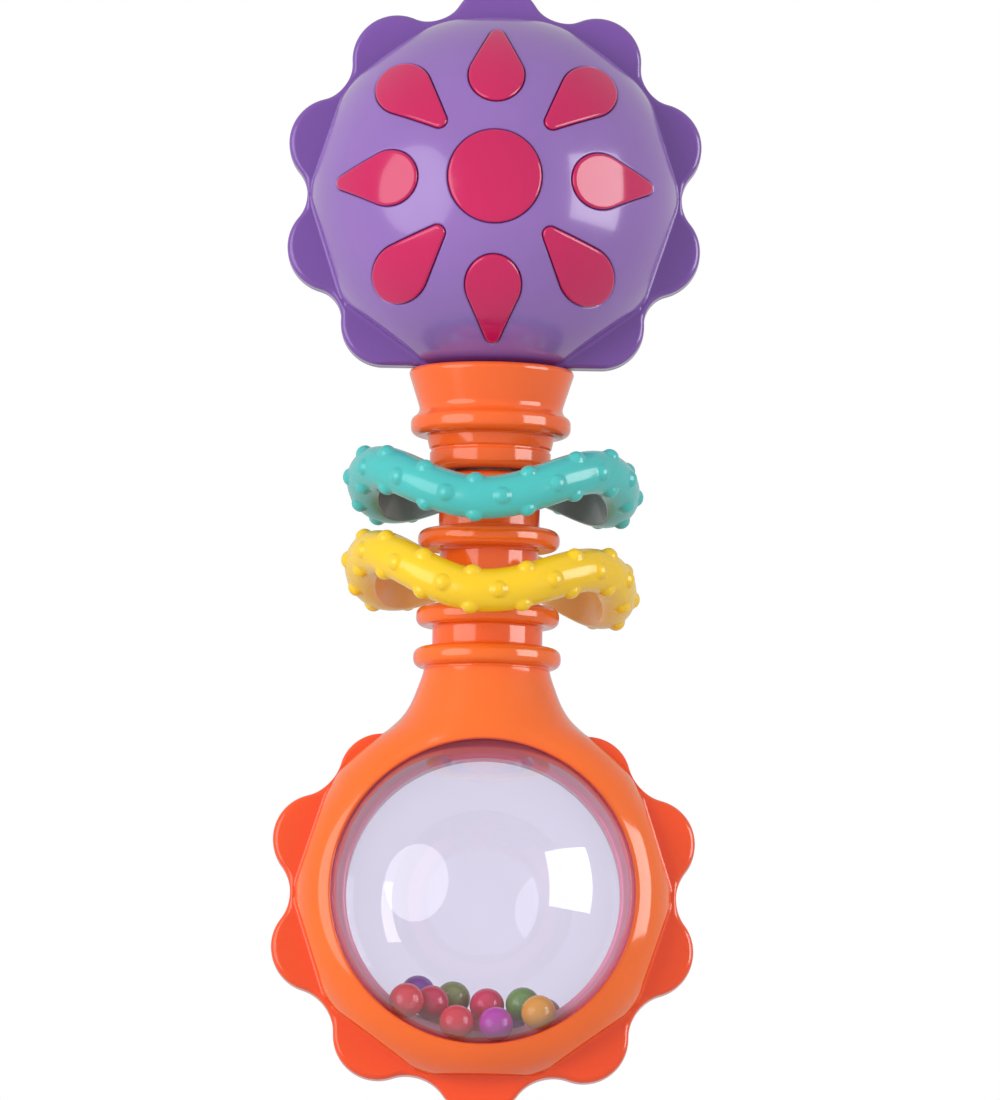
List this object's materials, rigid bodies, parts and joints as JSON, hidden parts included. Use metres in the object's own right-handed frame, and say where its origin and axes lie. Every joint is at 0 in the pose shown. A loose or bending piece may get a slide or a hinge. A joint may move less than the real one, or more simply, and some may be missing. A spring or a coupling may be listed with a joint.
{
  "type": "baby rattle",
  "caption": "Dumbbell baby rattle with a twisting lobed head, ribbed handle, loose wavy rings and a clear bead window in a lobed frame.",
  "frame": {"origin": "middle of the whole rattle, on the handle axis at the parting plane", "axes": "+Z along the handle from the bead window to the round head, -Y is the front, +X to the right seen from the front"},
  "size_m": [0.073, 0.0646, 0.197],
  "materials": {
    "purple_shell": "high gloss",
    "magenta_inlay": "high gloss",
    "orange_body": "high gloss",
    "clear_dome": "clear moulded plastic with a lavender tint",
    "teal_ring": "smooth soft plastic",
    "yellow_ring": "smooth soft plastic",
    "mechanism": "satin",
    "spring_steel": "satin",
    "bead_amber": "high gloss",
    "bead_brown": "high gloss",
    "bead_crimson": "high gloss",
    "bead_magenta": "high gloss",
    "bead_olive": "high gloss",
    "bead_red": "high gloss",
    "bead_rose": "high gloss",
    "bead_tan": "high gloss",
    "bead_violet": "high gloss"
  },
  "bodies": {
    "handle": {"lens_frame_front": "orange_body", "lens_frame_back": "orange_body", "lens_dome_front": "clear_dome", "lens_dome_back": "clear_dome", "chamber_ring": "magenta_inlay", "spindle": "mechanism", "detent_wheel": "mechanism", "retaining_washer": "spring_steel", "retaining_screw": "spring_steel"},
    "head": {"head_shell_front": "purple_shell", "head_shell_back": "purple_shell", "inlay_front": "magenta_inlay", "inlay_back": "magenta_inlay", "collar_front": "orange_body", "collar_back": "orange_body", "click_spring": "spring_steel"},
    "teal_loop": {"teal_ring": "teal_ring"},
    "yellow_loop": {"yellow_ring": "yellow_ring"},
    "red_bead_left_ball": {"red_bead_left": "bead_red"},
    "scarlet_bead_ball": {"scarlet_bead": "bead_red"},
    "magenta_bead_ball": {"magenta_bead": "bead_magenta"},
    "amber_bead_ball": {"amber_bead": "bead_amber"},
    "crimson_bead_ball": {"crimson_bead": "bead_crimson"},
    "rose_bead_ball": {"rose_bead": "bead_rose"},
    "green_bead_ball": {"green_bead": "bead_olive"},
    "olive_bead_ball": {"olive_bead": "bead_olive"},
    "purple_bead_left_ball": {"purple_bead_left": "bead_violet"},
    "tan_bead_ball": {"tan_bead": "bead_tan"},
    "red_bead_back_ball": {"red_bead_back": "bead_red"},
    "violet_bead_ball": {"violet_bead": "bead_violet"},
    "brown_bead_ball": {"brown_bead": "bead_brown"}
  },
  "joints": [
    {"name": "head_twist", "type": "hinge", "parent": "handle", "child": "head", "pos_m": [0, 0, 0.01334], "axis": [0, 0, 1], "continuous": true},
    {"name": "ring_teal_slide", "type": "slide", "parent": "handle", "child": "teal_loop", "axis": [0, 0, 1], "range_m": [-0.0025, 0.012]},
    {"name": "ring_yellow_slide", "type": "slide", "parent": "handle", "child": "yellow_loop", "axis": [0, 0, 1], "range_m": [-0.0125, 0.0015]},
    {"name": "bead_tumble", "type": "slide", "parent": "handle", "child": "red_bead_left_ball", "axis": [0, 0, 1], "range_m": [0, 0.03745]},
    {"name": "follow_scarlet_bead", "type": "slide", "parent": "handle", "child": "scarlet_bead_ball", "axis": [0, 0, 1], "range_m": [0, 0.04468]},
    {"name": "follow_magenta_bead", "type": "slide", "parent": "handle", "child": "magenta_bead_ball", "axis": [0, 0, 1], "range_m": [0, 0.04516]},
    {"name": "follow_amber_bead", "type": "slide", "parent": "handle", "child": "amber_bead_ball", "axis": [0, 0, 1], "range_m": [0, 0.04093]},
    {"name": "follow_crimson_bead", "type": "slide", "parent": "handle", "child": "crimson_bead_ball", "axis": [0, 0, 1], "range_m": [0, 0.03749]},
    {"name": "follow_rose_bead", "type": "slide", "parent": "handle", "child": "rose_bead_ball", "axis": [0, 0, 1], "range_m": [0, 0.03955]},
    {"name": "follow_green_bead", "type": "slide", "parent": "handle", "child": "green_bead_ball", "axis": [0, 0, 1], "range_m": [0, 0.03801]},
    {"name": "follow_olive_bead", "type": "slide", "parent": "handle", "child": "olive_bead_ball", "axis": [0, 0, 1], "range_m": [0, 0.03762]},
    {"name": "follow_purple_bead_left", "type": "slide", "parent": "handle", "child": "purple_bead_left_ball", "axis": [0, 0, 1], "range_m": [0, 0.03405]},
    {"name": "follow_tan_bead", "type": "slide", "parent": "handle", "child": "tan_bead_ball", "axis": [0, 0, 1], "range_m": [0, 0.04155]},
    {"name": "follow_red_bead_back", "type": "slide", "parent": "handle", "child": "red_bead_back_ball", "axis": [0, 0, 1], "range_m": [0, 0.04537]},
    {"name": "follow_violet_bead", "type": "slide", "parent": "handle", "child": "violet_bead_ball", "axis": [0, 0, 1], "range_m": [0, 0.04444]},
    {"name": "follow_brown_bead", "type": "slide", "parent": "handle", "child": "brown_bead_ball", "axis": [0, 0, 1], "range_m": [0, 0.0398]}
  ],
  "couplings": [
    {"joint": "follow_scarlet_bead", "follows": "bead_tumble", "ratio": 1.193},
    {"joint": "follow_magenta_bead", "follows": "bead_tumble", "ratio": 1.2059},
    {"joint": "follow_amber_bead", "follows": "bead_tumble", "ratio": 1.093},
    {"joint": "follow_crimson_bead", "follows": "bead_tumble", "ratio": 1.0011},
    {"joint": "follow_rose_bead", "follows": "bead_tumble", "ratio": 1.0561},
    {"joint": "follow_green_bead", "follows": "bead_tumble", "ratio": 1.0149},
    {"joint": "follow_olive_bead", "follows": "bead_tumble", "ratio": 1.0045},
    {"joint": "follow_purple_bead_left", "follows": "bead_tumble", "ratio": 0.90926},
    {"joint": "follow_tan_bead", "follows": "bead_tumble", "ratio": 1.1094},
    {"joint": "follow_red_bead_back", "follows": "bead_tumble", "ratio": 1.2116},
    {"joint": "follow_violet_bead", "follows": "bead_tumble", "ratio": 1.1866},
    {"joint": "follow_brown_bead", "follows": "bead_tumble", "ratio": 1.0626}
  ]
}
